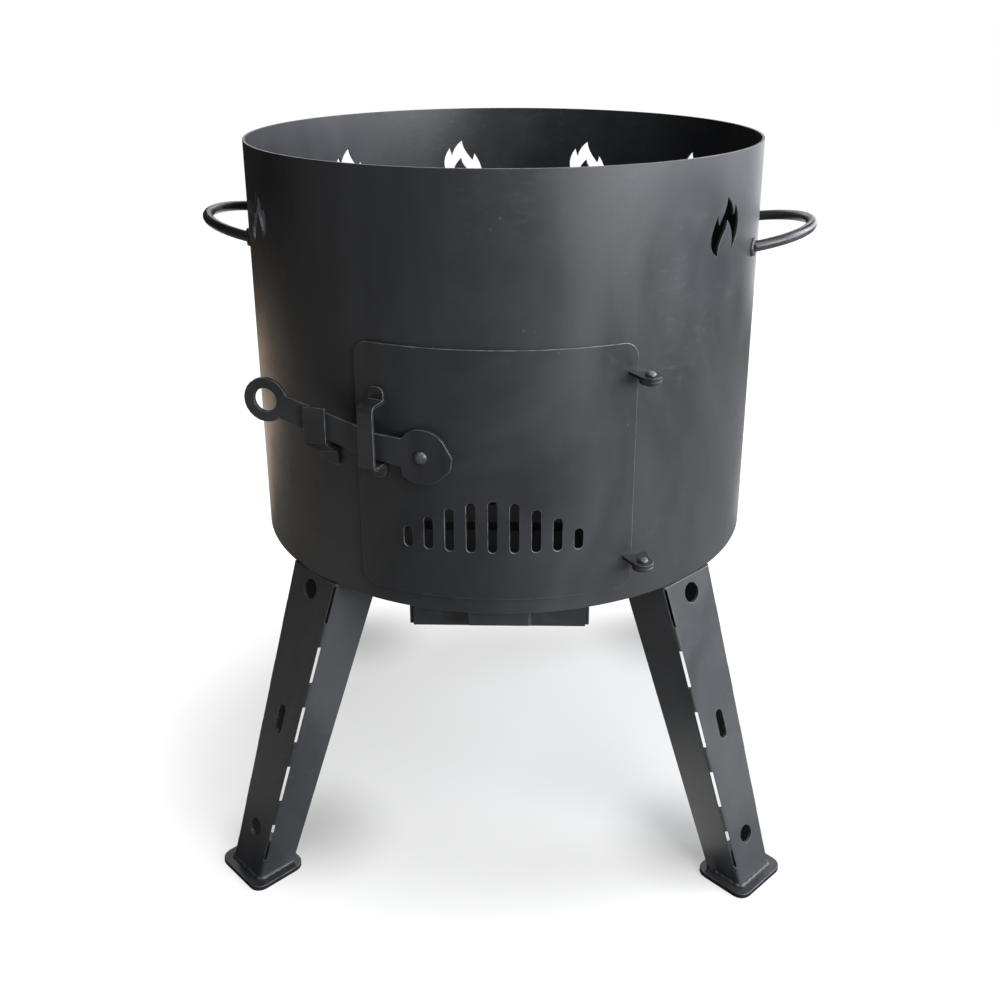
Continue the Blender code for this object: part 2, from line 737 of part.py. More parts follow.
def handle(name, azimuth_deg, finish):
    """A carrying handle: a round bar bent to a bow, tilted up a little, its two ends welded on the barrel."""
    azimuth = math.radians(azimuth_deg + barrel_turn_deg)
    half = handle_spread / 2
    # the bow is the arc through its two places on the wall and its tip
    wall = math.sqrt(barrel_radius**2 - half**2)
    tip = barrel_radius + handle_reach
    bow_radius = ((tip - wall) ** 2 + half**2) / (tip - wall) / 2
    lap = math.asin((wall - tip + bow_radius) / bow_radius) - cut_overrun / bow_radius
    path = arc((0, tip - bow_radius), bow_radius, lap, math.pi - lap, handle_steps)
    bm = bmesh.new()
    sides = handle_sides
    rings = []
    for n, (x, y) in enumerate(path):
        before, after = path[max(n - 1, 0)], path[min(n + 1, len(path) - 1)]
        along = Vector((after[0] - before[0], after[1] - before[1])).normalized()
        across = Vector((along.y, -along.x))
        ring = []
        for side in range(sides):
            angle = 2 * math.pi * side / sides
            level, out = handle_bar_radius * math.sin(angle), handle_bar_radius * math.cos(angle)
            ring.append(bm.verts.new((x + across.x * out, -(y + across.y * out), level)))
        rings.append(ring)
    for one, other in zip(rings, rings[1:]):
        for k in range(sides):
            bm.faces.new((one[k], one[(k + 1) % sides], other[(k + 1) % sides], other[k]))
    bm.faces.new(rings[0])
    bm.faces.new(rings[-1])
    tilt = Matrix.Rotation(-math.radians(handle_tilt_deg), 3, "X")
    bmesh.ops.rotate(bm, verts=bm.verts, cent=(0, -wall, 0), matrix=tilt)
    frame = wall_frame(azimuth, 0, stand_height + handle_rise)
    bow = place(name, bm, finish, matrix=frame)
    core = lathe_disc(barrel_radius + clearance, stand_height, barrel_top)
    bmesh.ops.transform(core, matrix=frame.inverted(), verts=core.verts)
    cut(bow, f"cut_{name}", core)


def leg_section(reach, width, depth, height):
    """The leg's level cross-section: a web and two flanges with round bends, as a closed outline."""
    t = leg_sheet
    inner = leg_bend_radius - t
    half = width / 2
    back = reach - depth
    corner_out = arc((half - leg_bend_radius, reach - leg_bend_radius), leg_bend_radius, 0, math.pi / 2,
                     leg_bend_steps)
    corner_in = arc((half - leg_bend_radius, reach - leg_bend_radius), inner, 0, math.pi / 2, leg_bend_steps)
    outside = [(half, back)] + corner_out
    inside = [(half - t, back)] + corner_in
    outline = outside + [(-x, y) for x, y in outside[::-1]]
    outline += [(-x, y) for x, y in inside] + inside[::-1]
    return [Vector((x, -y, height)) for x, y in outline]


def leg(name, azimuth_deg, finish):
    """One leg: a sheet folded to a tapering channel along two rows of slots, with a bolting tab on top."""
    top, bottom = stand_height - clearance, foot_thickness + clearance
    frame = Matrix.Rotation(math.radians(azimuth_deg), 4, "Z")
    bm = bmesh.new()
    upper = [bm.verts.new(p) for p in leg_section(leg_top_reach, leg_top_width, leg_top_flange, top)]
    lower = [bm.verts.new(p) for p in leg_section(leg_foot_reach, leg_foot_width, leg_foot_flange, bottom)]
    count = len(upper)
    for k in range(count):
        bm.faces.new((upper[k], upper[(k + 1) % count], lower[(k + 1) % count], lower[k]))
    bm.faces.new(upper)
    bm.faces.new(lower)
    piece = place(name, bm, finish, matrix=frame)
    rise = top - bottom
    lean = (leg_foot_reach - leg_top_reach) / rise
    tab_outer = leg_top_reach - leg_sheet / 2
    tab_width = leg_top_width - leg_sheet
    outline = [(-tab_width / 2, -tab_outer), (tab_width / 2, -tab_outer)]
    inner_half = tab_width / 2 - leg_tab_length / 4
    tab_inner = tab_outer - leg_tab_length
    outline += [(tab_width / 2, -tab_inner - leg_tab_length / 4), (inner_half, -tab_inner)]
    outline += [(-inner_half, -tab_inner), (-tab_width / 2, -tab_inner - leg_tab_length / 4)]
    cut(piece, f"join_tab_{name}", prism(bmesh.new(), outline, top - leg_sheet, top), "UNION")
    holes = prism(
        bmesh.new(),
        circle_outline(bolt_radius + clearance, (0, -bolt_reach), small_sides),
        top - leg_sheet - cut_overrun,
        top + cut_overrun,
    )
    # the web leans, so distances down it are turned into heights
    slope = math.hypot(1, lean)

    def through_web(outline, drop):
        """Adds a level hole through the web at a distance down it."""
        height = top - drop / slope
        reach = leg_top_reach + (top - height) * lean
        shape = [(x, height + z / slope) for x, z in outline]
        prism(holes, shape, -reach - cut_overrun, -reach + cut_overrun, "Y")

    through_web(circle_outline(leg_access_radius), leg_access_drop)
    through_web(circle_outline(leg_lower_radius, sides=small_sides), leg_lower_drop)
    through_web(slot_outline(leg_window_width, leg_window_length), leg_window_drop)
    for side in (-1, 1):
        for n in range(leg_slot_count):
            drop = leg_slot_start + n * leg_slot_pitch
            bend_slot(holes, side, drop, top, lean, slope)
    cut(piece, f"cut_{name}", holes)


def bend_slot(bm, side, drop, top, lean, slope):
    """Adds the cutter of one slot: a narrow bar that lies along the bend and goes through it cornerwise."""
    narrowing = (leg_foot_width - leg_top_width) / 2 / (stand_height - foot_thickness)
    through = Vector((side, -1, 0)).normalized() * leg_bend_radius
    across = Vector((side, 1, 0)).normalized() * leg_slot_width / 2
    # the middle of the sheet, halfway round the bend
    inset = leg_bend_radius - (leg_bend_radius - leg_sheet / 2) * math.cos(math.pi / 4)
    ends = []
    for way in (-1, 1):
        fall = (drop + way * leg_slot_length / 2) / slope
        reach = leg_top_reach + fall * lean
        half = leg_top_width / 2 + fall * narrowing
        middle = Vector((side * (half - inset), inset - reach, top - fall))
        corners = ((1, 1), (1, -1), (-1, -1), (-1, 1))
        ends.append([middle + through * a + across * b for a, b in corners])
    upper, lower = ([bm.verts.new(p) for p in end] for end in ends)
    for k in range(len(upper)):
        beside = (k + 1) % len(upper)
        bm.faces.new((upper[k], upper[beside], lower[beside], lower[k]))
    bm.faces.new(upper)
    bm.faces.new(lower)


def foot(name, azimuth_deg, finish):
    """A foot plate under a leg."""
    outline = rounded_box(foot_width, foot_length, foot_corner, (0, foot_inset - leg_foot_reach))
    frame = Matrix.Rotation(math.radians(azimuth_deg), 4, "Z")
    place(name, prism(bmesh.new(), outline, 0, foot_thickness), finish, matrix=frame)


def hexagon(flats):
    """A nut's outline from above."""
    return circle_outline(flats / math.sqrt(3), sides=6)


def leg_fastener(number, azimuth_deg, bright):
    """The bolt that holds a leg under the base plate, and its nut."""
    spot = outward(math.radians(azimuth_deg)) * bolt_reach
    tab_bottom = stand_height - clearance - leg_sheet
    nut_top = tab_bottom - clearance
    shank_end = nut_top - nut_height - bolt_end_margin
    frame = Matrix.Translation(spot)
    bolt = prism(
        bmesh.new(), hexagon(bolt_head_flats), base_top + clearance, base_top + clearance + bolt_head_height
    )
    piece = place(f"leg_bolt_{number}", bolt, bright, matrix=frame)
    shank = prism(
        bmesh.new(), circle_outline(bolt_radius, sides=small_sides), shank_end, base_top + bolt_head_height / 2
    )
    cut(piece, f"join_shank_{number}", shank, "UNION")
    nut = prism(bmesh.new(), hexagon(bolt_head_flats), nut_top - nut_height, nut_top)
    ring = place(f"leg_nut_{number}", nut, bright, matrix=frame)
    hole = circle_outline(bolt_radius + clearance, sides=small_sides)
    cut(ring, f"cut_nut_{number}", prism(bmesh.new(), hole, shank_end, nut_top + cut_overrun))


def ash_tray(finish, tray):
    """The ash tray: an open sheet box, its front plate and the strap that pulls it out."""
    ledge_top = stand_height - clearance - rail_depth + rail_thickness
    floor = ledge_top + clearance
    front_back = -tray_front_reach + tray_front_thickness
    start = front_back + clearance
    box = prism(
        bmesh.new(),
        rounded_box(tray_width, tray_length, 2 * tray_wall, (0, start + tray_length / 2)),
        floor,
        floor + tray_height,
    )
    body = place("ash_tray", box, finish, parent=tray)
    inside = rounded_box(
        tray_width - 2 * tray_wall, tray_length - 2 * tray_wall, tray_wall, (0, start + tray_length / 2)
    )
    cut(body, "cut_tray", prism(bmesh.new(), inside, floor + tray_wall, floor + tray_height + cut_overrun))
    bottom = stand_height - clearance - rail_depth
    face = [
        (-tray_front_width / 2, bottom),
        (tray_front_width / 2, bottom),
        (tray_front_width / 2, bottom + tray_front_height - clearance),
        (-tray_front_width / 2, bottom + tray_front_height - clearance),
    ]
    place("ash_tray_front", prism(bmesh.new(), face, -tray_front_reach, front_back, "Y"), finish, parent=tray)
    near, far, t = -tray_front_reach - clearance, -tray_front_reach - pull_reach, pull_thickness
    half = pull_width / 2
    strap = [
        (-half, near), (-half, far + t), (-half + t, far), (half - t, far), (half, far + t), (half, near),
        (half - t, near), (half - t, far + 2 * t), (half - 2 * t, far + t), (-half + 2 * t, far + t),
        (-half + t, far + 2 * t), (-half + t, near),
    ]
    low = bottom + pull_lift
    place("ash_tray_pull", prism(bmesh.new(), strap, low, low + pull_height), finish, parent=tray)


def rail(name, side, finish):
    """A rail under the base plate: a folded channel whose lower ledge carries the tray."""
    t = rail_thickness
    top = stand_height - clearance
    bottom = top - rail_depth
    inner = tray_front_width / 2 + clearance
    outer = inner + t
    shape = [
        (inner, top - t), (inner, bottom + t), (inner - rail_ledge, bottom + t), (inner - rail_ledge, bottom),
        (outer, bottom), (outer, top - t), (outer + rail_top_flange, top - t), (outer + rail_top_flange, top),
        (inner, top),
    ]
    front = -tray_front_reach + tray_front_thickness + rail_setback
    back = front + tray_length + tray_wall
    outline = [(side * x, z) for x, z in shape]
    place(name, prism(bmesh.new(), outline, front, back, "Y"), finish)


def build():
    """Puts the whole stove together."""
    clear_scene()
    black = paint("black_stove_paint", (0.055, 0.058, 0.062), 0.5, 0.3)
    dark = paint("cast_iron", (0.045, 0.045, 0.047), 0.65, 0.5)
    bright = paint("zinc", (0.42, 0.43, 0.45), 0.35, 0.9)
    barrel_shell(black)
    base_plate(black)
    grate(dark)
    pin = outward(math.radians(hinge_pin_turn_deg)) * pin_circle
    door = pivot("door_hinge_axis", Matrix.Translation(pin))
    door_panel(black, door)
    hinge("upper", black, hinge_upper_rise, door)
    hinge("lower", black, hinge_lower_rise, door)
    latch(black, bright, door)
    latch_guide(black, door)
    latch_keeper(black)
    handle("handle_left", -90, black)
    handle("handle_right", 90, black)
    for number, azimuth_deg in enumerate(leg_azimuths_deg, 1):
        leg(f"leg_{number}", azimuth_deg, black)
        foot(f"foot_{number}", azimuth_deg, black)
        leg_fastener(number, azimuth_deg, bright)
    tray = pivot("ash_tray_slide", Matrix.Identity(4))
    ash_tray(black, tray)
    rail("tray_rail_left", -1, black)
    rail("tray_rail_right", 1, black)


build()
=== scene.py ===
import math

import bmesh
import bpy
from mathutils import Matrix, Vector


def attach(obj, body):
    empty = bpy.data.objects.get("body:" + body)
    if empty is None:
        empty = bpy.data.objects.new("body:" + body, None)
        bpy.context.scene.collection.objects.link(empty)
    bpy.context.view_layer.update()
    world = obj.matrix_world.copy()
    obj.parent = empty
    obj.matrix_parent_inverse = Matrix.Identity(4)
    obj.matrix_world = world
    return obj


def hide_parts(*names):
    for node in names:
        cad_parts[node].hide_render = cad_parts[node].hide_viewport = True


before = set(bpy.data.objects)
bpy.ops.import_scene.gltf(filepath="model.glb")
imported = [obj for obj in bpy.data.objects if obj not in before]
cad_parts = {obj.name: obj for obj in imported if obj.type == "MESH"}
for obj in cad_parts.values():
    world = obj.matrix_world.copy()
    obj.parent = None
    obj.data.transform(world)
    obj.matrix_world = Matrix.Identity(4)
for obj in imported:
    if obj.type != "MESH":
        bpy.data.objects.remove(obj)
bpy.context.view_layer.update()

# Barrel. One 2 mm steel sheet, cut flat by laser with the stoking opening and six flames, then rolled
# and welded down the back. It is sprayed with satin heat-resistant black, which keeps faint hand marks.
barrel_radius, barrel_wall = 0.205, 0.002
barrel_low, barrel_high = 0.239, 0.559
barrel_strips = 288
sheet_edge_round = 0.0003
tiny = 1e-5
flame_width, flame_height, flame_foot = 0.038, 0.0415, 0.487
flame_turns_deg = (-167.5, -134.0, -61.5, 51.5, 124.0, 157.5)
flame_steps = 7
flame_start = (-0.26, 0.0)
flame_curves = (
    ((-0.60, 0.16), (-0.52, 0.40), (-0.30, 0.70)),
    ((-0.29, 0.64), (-0.27, 0.59), (-0.25, 0.54)),
    ((-0.13, 0.68), (0.00, 0.80), (0.02, 1.00)),
    ((0.14, 0.93), (0.26, 0.80), (0.28, 0.66)),
    ((0.30, 0.72), (0.33, 0.78), (0.34, 0.84)),
    ((0.54, 0.62), (0.58, 0.32), (0.23, 0.06)),
    ((0.30, 0.26), (0.24, 0.44), (0.04, 0.60)),
    ((0.05, 0.40), (-0.30, 0.28), (-0.26, 0.0)),
)
door_left_deg, door_right_deg = -29.0, 27.9
door_low, door_high = 0.2515, 0.4395
opening_side_lap, opening_top_lap, opening_bottom_lap, opening_corner = 0.014, 0.011, 0.008, 0.010


def outward(turn):
    """The level direction away from the barrel's axis. A turn of 0 faces the stoking door."""
    return Vector((math.sin(turn), -math.cos(turn), 0))


def round_arc(middle, radius, start_deg, end_deg, steps):
    """Points of an arc in a flat drawing."""
    turns = [math.radians(start_deg + (end_deg - start_deg) * n / steps) for n in range(steps + 1)]
    return [(middle[0] + radius * math.cos(a), middle[1] + radius * math.sin(a)) for a in turns]


def round_cornered(left, right, low, high, corner, steps=8):
    """The outline of a plate with round corners."""
    spots = ((right, high, -1, -1), (left, high, 1, -1), (left, low, 1, 1), (right, low, -1, 1))
    points = []
    for n, (x, z, sx, sz) in enumerate(spots):
        points += round_arc((x + sx * corner, z + sz * corner), corner, 90 * n, 90 * n + 90, steps)
    return points


def flame(turn_deg):
    """One flame on the flat sheet. A curve is two handles and an end, in shares of its width and height."""
    middle, here, points = math.radians(turn_deg) * barrel_radius, Vector(flame_start), []
    for first, second, last in flame_curves:
        a, b, c = Vector(first), Vector(second), Vector(last)
        for n in range(flame_steps):
            t = n / flame_steps
            p = (1 - t) ** 3 * here + 3 * (1 - t) ** 2 * t * a + 3 * (1 - t) * t * t * b + t**3 * c
            points.append((middle + p.x * flame_width, flame_foot + p.y * flame_height))
        here = c
    return points


def cut_sheet(edge, holes, scores):
    """A sheet cut flat, facing -Y, and scored upright at some places so that it can be rolled."""
    bm = bmesh.new()
    for outline in (edge, *holes):
        ring = [bm.verts.new((x, 0, z)) for x, z in outline]
        for a, b in zip(ring, ring[1:] + ring[:1]):
            bm.edges.new((a, b))
    bmesh.ops.triangle_fill(bm, use_beauty=True, edges=bm.edges[:], normal=(0, -1, 0))
    for x in scores:
        everything = bm.verts[:] + bm.edges[:] + bm.faces[:]
        bmesh.ops.bisect_plane(bm, geom=everything, dist=tiny / 10, plane_co=(x, 0, 0), plane_no=(1, 0, 0))
    # A slanting fold would crease the rolled sheet, so only the upright ones stay.
    slanting = [
        e for e in bm.edges
        if len(e.link_faces) == 2 and abs(e.verts[0].co.x - e.verts[1].co.x) > tiny
    ]
    bmesh.ops.dissolve_edges(bm, edges=slanting, use_verts=False)
    spare = [v for v in bm.verts if len(v.link_edges) == 2 and not v.is_boundary]
    bmesh.ops.dissolve_verts(bm, verts=spare)
    return bm


def roll_sheet(bm, outside, wall):
    """Rolls a flat sheet to its outside radius and gives it its wall, inwards."""
    for v in bm.verts:
        v.co = outward(v.co.x / outside) * outside + Vector((0, 0, v.co.z))
    bmesh.ops.remove_doubles(bm, verts=bm.verts[:], dist=2 * tiny)
    made = bmesh.ops.extrude_face_region(bm, geom=bm.faces[:], use_keep_orig=True)
    inside = [v for v in made["geom"] if isinstance(v, bmesh.types.BMVert)]
    share = (outside - wall) / outside
    bmesh.ops.scale(bm, verts=inside, vec=(share, share, 1))
    bmesh.ops.recalc_face_normals(bm, faces=bm.faces[:])


def ease_edges(bm, width, sharp_deg=40.0):
    """Rounds the sharp edges, and marks the ridge of each rounding for lighter paint, partly wear and partly
    painted highlight.
    """
    rubbed_and_highlit = bm.verts.layers.float.new("rubbed_and_highlit")
    sharp = [e for e in bm.edges if len(e.link_faces) == 2 and e.calc_face_angle(0) > math.radians(sharp_deg)]
    made = bmesh.ops.bevel(bm, geom=sharp, offset=width, affect="EDGES", segments=2, profile=0.5,
                           material=-1, clamp_overlap=False)
    rounding = set(made["faces"])
    for v in made["verts"]:
        if all(f in rounding for f in v.link_faces):
            v[rubbed_and_highlit] = 1.0


def round_shading(mesh):
    """Shades a rolled sheet as a true cylinder, with its roundings running into its sides."""
    on_ridge = [mark.value > 0.5 for mark in mesh.attributes["rubbed_and_highlit"].data]
    almost_radial = 0.95
    main, rounding = {}, []
    for face in mesh.polygons:
        if any(on_ridge[v] for v in face.vertices):
            rounding.append(face)
            continue
        from_middle = Vector((face.center.x, face.center.y, 0)).normalized()
        way = face.normal.dot(from_middle)
        for v, loop in zip(face.vertices, face.loop_indices):
            spot = mesh.vertices[v].co
            radial = Vector((spot.x, spot.y, 0)).normalized() * way
            true = radial if abs(way) > almost_radial else face.normal
            main.setdefault(v, {})[loop] = true.normalized()
    normals = [Vector((0, 0, 0))] * len(mesh.loops)
    for found in main.values():
        for loop, true in found.items():
            normals[loop] = true
    for face in rounding:
        for v, loop in zip(face.vertices, face.loop_indices):
            if v in main:
                normals[loop] = sum(main[v].values(), Vector((0, 0, 0))).normalized()
            elif on_ridge[v]:
                normals[loop] = mesh.vertices[v].normal.copy()
    mesh.normals_split_custom_set(normals)


def fit_piece(name, bm, finish, body, nodes=(), smooth_deg=40.0, rolled=False):
    """Puts a finished piece on the stove: it moves with its body and stands for plain solids."""
    mesh = bpy.data.meshes.new(name)
    bm.to_mesh(mesh)
    bm.free()
    mesh.shade_smooth()
    mesh.materials.append(finish)
    piece = bpy.data.objects.new(name, mesh)
    bpy.context.scene.collection.objects.link(piece)
    if rolled:
        round_shading(mesh)
    else:
        mesh.set_sharp_from_angle(angle=math.radians(smooth_deg))
        even = piece.modifiers.new("even_shading", "WEIGHTED_NORMAL")
        even.keep_sharp = True
    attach(piece, body)
    if nodes:
        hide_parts(*nodes)
    return piece


def effect(name, inputs, outputs):
    """A shared shader effect with named inputs and outputs."""
    tree = bpy.data.node_groups.new(name, "ShaderNodeTree")
    for label, value in inputs.items():
        socket = tree.interface.new_socket(label, in_out="INPUT", socket_type="NodeSocketFloat")
        socket.default_value = value
    for label in outputs:
        tree.interface.new_socket(label, in_out="OUTPUT", socket_type="NodeSocketFloat")
    return tree, tree.nodes.new("NodeGroupInput"), tree.nodes.new("NodeGroupOutput")


def add(tree, kind, links=(), **settings):
    """A node with its settings, fed by fixed values or by other nodes' outputs."""
    node = tree.nodes.new(kind)
    for key, value in settings.items():
        setattr(node, key, value)
    for socket, source in links:
        if isinstance(source, (int, float, tuple)):
            node.inputs[socket].default_value = source
        else:
            tree.links.new(source, node.inputs[socket])
    return node


def product(tree, one, other):
    """Two values multiplied."""
    return add(tree, "ShaderNodeMath", [(0, one), (1, other)], operation="MULTIPLY").outputs[0]


def blend(tree, share, first, second):
    """A colour between two, each a fixed shade or another node's output."""
    # The Mix node has several sockets of each name, so those for colours go by number.
    share_socket, first_socket, second_socket, blended = 0, 6, 7, 2
    first, second = ((*c, 1.0) if isinstance(c, tuple) else c for c in (first, second))
    return add(tree, "ShaderNodeMix", [
        (share_socket, share), (first_socket, first), (second_socket, second)],
        data_type="RGBA").outputs[blended]


def hand_marks():
    """Broad cloudy smears and small rubbed spots that hands and rags leave on satin paint."""
    tree, given, out = effect("hand_marks", {"Cloud Size": 7.0, "Spot Size": 38.0}, ("Clouds", "Spots"))
    place = add(tree, "ShaderNodeTexCoord")
    tall = add(tree, "ShaderNodeMapping", [("Vector", place.outputs["Object"]), ("Scale", (1.0, 1.0, 0.55))])
    clouds = add(tree, "ShaderNodeTexNoise", [
        ("Vector", tall.outputs[0]), ("Scale", given.outputs["Cloud Size"]), ("Detail", 5.0),
        ("Roughness", 0.62), ("Distortion", 0.7)])
    soft = add(tree, "ShaderNodeMapRange", [
        ("Value", clouds.outputs["Fac"]), ("From Min", 0.38), ("From Max", 0.68)])
    spots = add(tree, "ShaderNodeTexNoise", [
        ("Vector", place.outputs["Object"]), ("Scale", given.outputs["Spot Size"]), ("Detail", 3.0),
        ("Roughness", 0.5), ("Distortion", 1.6)])
    small = add(tree, "ShaderNodeMapRange", [
        ("Value", spots.outputs["Fac"]), ("From Min", 0.62), ("From Max", 0.78)])
    tree.links.new(soft.outputs[0], out.inputs["Clouds"])
    tree.links.new(small.outputs[0], out.inputs["Spots"])
    return tree


def spray_grain():
    """The fine orange peel of sprayed paint, as a height."""
    tree, given, out = effect("spray_grain", {"Grain Size": 900.0}, ("Height",))
    place = add(tree, "ShaderNodeTexCoord")
    fine = add(tree, "ShaderNodeTexNoise", [
        ("Vector", place.outputs["Object"]), ("Scale", given.outputs["Grain Size"]), ("Detail", 2.0)])
    tree.links.new(fine.outputs["Fac"], out.inputs["Height"])
    return tree


def edge_wear_and_highlight():
    """Broken wear and painted highlight along the rounded edges, from the piece's own ridge attribute."""
    tree, given, out = effect("edge_wear_and_highlight", {"Break Size": 160.0}, ("Mask",))
    rubbed_and_highlit = add(tree, "ShaderNodeAttribute", attribute_name="rubbed_and_highlit")
    place = add(tree, "ShaderNodeTexCoord")
    broken = add(tree, "ShaderNodeTexNoise", [
        ("Vector", place.outputs["Object"]), ("Scale", given.outputs["Break Size"]), ("Detail", 4.0)])
    kept = add(tree, "ShaderNodeMapRange", [
        ("Value", broken.outputs["Fac"]), ("From Min", 0.3), ("From Max", 0.7)])
    tree.links.new(product(tree, rubbed_and_highlit.outputs["Fac"], kept.outputs[0]), out.inputs["Mask"])
    return tree


def scuffs():
    """Faint scuffs that lie together in patches, and a few tiny chips."""
    tree, given, out = effect("scuffs", {"Patch Size": 8.0}, ("Scuffs", "Chips"))
    wander_reach, chipped_cells = (0.0022, 0.0022, 0.0022), 0.40
    place = add(tree, "ShaderNodeTexCoord")
    patches = add(tree, "ShaderNodeTexNoise", [
        ("Vector", place.outputs["Object"]), ("Scale", given.outputs["Patch Size"]), ("Detail", 1.0)])
    inside = add(tree, "ShaderNodeMapRange", [
        ("Value", patches.outputs["Fac"]), ("From Min", 0.48), ("From Max", 0.68)])
    lean = add(tree, "ShaderNodeMapping", [
        ("Vector", place.outputs["Object"]), ("Rotation", (0.5, 0.9, 0.3)),
        ("Scale", (1.0, 1.0, 2.2))])
    streaks = add(tree, "ShaderNodeTexNoise", [
        ("Vector", lean.outputs[0]), ("Scale", 120.0), ("Detail", 5.0), ("Roughness", 0.70),
        ("Distortion", 0.5)])
    bright = add(tree, "ShaderNodeMapRange", [
        ("Value", streaks.outputs["Fac"]), ("From Min", 0.54), ("From Max", 0.76)])
    wander = add(tree, "ShaderNodeTexNoise", [("Vector", place.outputs["Object"]), ("Scale", 700.0)])
    ragged = add(tree, "ShaderNodeVectorMath", [
        (0, wander.outputs["Color"]), (1, wander_reach), (2, place.outputs["Object"])],
        operation="MULTIPLY_ADD")
    cells = add(tree, "ShaderNodeTexVoronoi", [("Vector", ragged.outputs[0]), ("Scale", 50.0)])
    near = add(tree, "ShaderNodeMapRange", [
        ("Value", cells.outputs["Distance"]), ("From Min", 0.065), ("From Max", 0.02)])
    chosen = add(tree, "ShaderNodeMath", [
        (0, cells.outputs["Color"]), (1, 1.0 - chipped_cells)], operation="GREATER_THAN")
    tree.links.new(product(tree, inside.outputs[0], bright.outputs[0]), out.inputs["Scuffs"])
    tree.links.new(product(tree, near.outputs[0], chosen.outputs[0]), out.inputs["Chips"])
    return tree


# The edge group lightens rounded edges, partly as wear and partly as painted highlight.
marks, grain, rubbed, scuffed = hand_marks(), spray_grain(), edge_wear_and_highlight(), scuffs()


def satin_paint(name, shade, smear_shade, gloss, dull, edge_shade, cloud_size=7.0, spot_size=38.0, peel=0.06):
    """Satin heat-resistant paint: dark, with lighter smears, scuffs, tiny chips and lighter edges, partly
    rubbed and partly painted highlight.
    """
    scuff_shade, chip_shade = (0.075, 0.077, 0.080), (0.055, 0.056, 0.058)
    scuff_share, spot_dulling, chip_height, peel_depth = 0.42, 0.10, 7.0, 0.0004
    made = bpy.data.materials.new(name)
    made.use_nodes = True
    tree = made.node_tree
    shader = tree.nodes["Principled BSDF"]
    smears = add(tree, "ShaderNodeGroup", [("Cloud Size", cloud_size), ("Spot Size", spot_size)],
                 node_tree=marks)
    wear = add(tree, "ShaderNodeGroup", node_tree=scuffed)
    edges = add(tree, "ShaderNodeGroup", node_tree=rubbed)
    skin = add(tree, "ShaderNodeGroup", node_tree=grain)
    tint = blend(tree, smears.outputs["Clouds"], shade, smear_shade)
    hazed = blend(tree, product(tree, wear.outputs["Scuffs"], scuff_share), tint, scuff_shade)
    chipped = blend(tree, wear.outputs["Chips"], hazed, chip_shade)
    # Lighter edges: partly wear, partly painted highlight.
    rim = blend(tree, edges.outputs["Mask"], chipped, edge_shade)
    tree.links.new(rim, shader.inputs["Base Color"])
    sheen = add(tree, "ShaderNodeMapRange", [
        ("Value", smears.outputs["Clouds"]), ("To Min", gloss), ("To Max", dull)])
    dulled = add(tree, "ShaderNodeMath", [
        (0, smears.outputs["Spots"]), (1, spot_dulling), (2, sheen.outputs[0])],
        operation="MULTIPLY_ADD")
    tree.links.new(dulled.outputs[0], shader.inputs["Roughness"])
    nibs = add(tree, "ShaderNodeMath", [
        (0, wear.outputs["Chips"]), (1, chip_height), (2, skin.outputs["Height"])],
        operation="MULTIPLY_ADD")
    bump = add(tree, "ShaderNodeBump", [
        ("Height", nibs.outputs[0]), ("Strength", peel), ("Distance", peel_depth)])
    tree.links.new(bump.outputs["Normal"], shader.inputs["Normal"])
    return made


barrel_paint = satin_paint("barrel_paint", shade=(0.014, 0.015, 0.017), smear_shade=(0.029, 0.030, 0.033),
                           gloss=0.37, dull=0.52, edge_shade=(0.12, 0.123, 0.126))
half_round = math.pi * barrel_radius
opening_left = math.radians(door_left_deg) * barrel_radius + opening_side_lap
opening_right = math.radians(door_right_deg) * barrel_radius - opening_side_lap
opening = round_cornered(opening_left, opening_right, door_low + opening_bottom_lap,
                         door_high - opening_top_lap, opening_corner)
whole = [(half_round, barrel_low), (half_round, barrel_high), (-half_round, barrel_high),
         (-half_round, barrel_low)]
barrel_scores = [half_round * (2 * n / barrel_strips - 1) for n in range(1, barrel_strips)]
barrel = cut_sheet(whole, [opening] + [flame(turn) for turn in flame_turns_deg], barrel_scores)
roll_sheet(barrel, barrel_radius, barrel_wall)
ease_edges(barrel, sheet_edge_round)
fit_piece("barrel_sheet", barrel, barrel_paint, "stove", ["barrel_shell"], rolled=True)

# Welds. Beads of weld, painted over with the stove, show where a real one is joined: down the barrel's
# back, where its floor sits in, round the handles' ends, and where the legs stand on their foot plates.
weld_paint = satin_paint("weld_paint", shade=(0.020, 0.021, 0.023), smear_shade=(0.032, 0.033, 0.036),
                         gloss=0.42, dull=0.55, edge_shade=(0.05, 0.05, 0.05), cloud_size=40.0,
                         spot_size=120.0, peel=0.25)
upright = Vector((0, 0, 1))


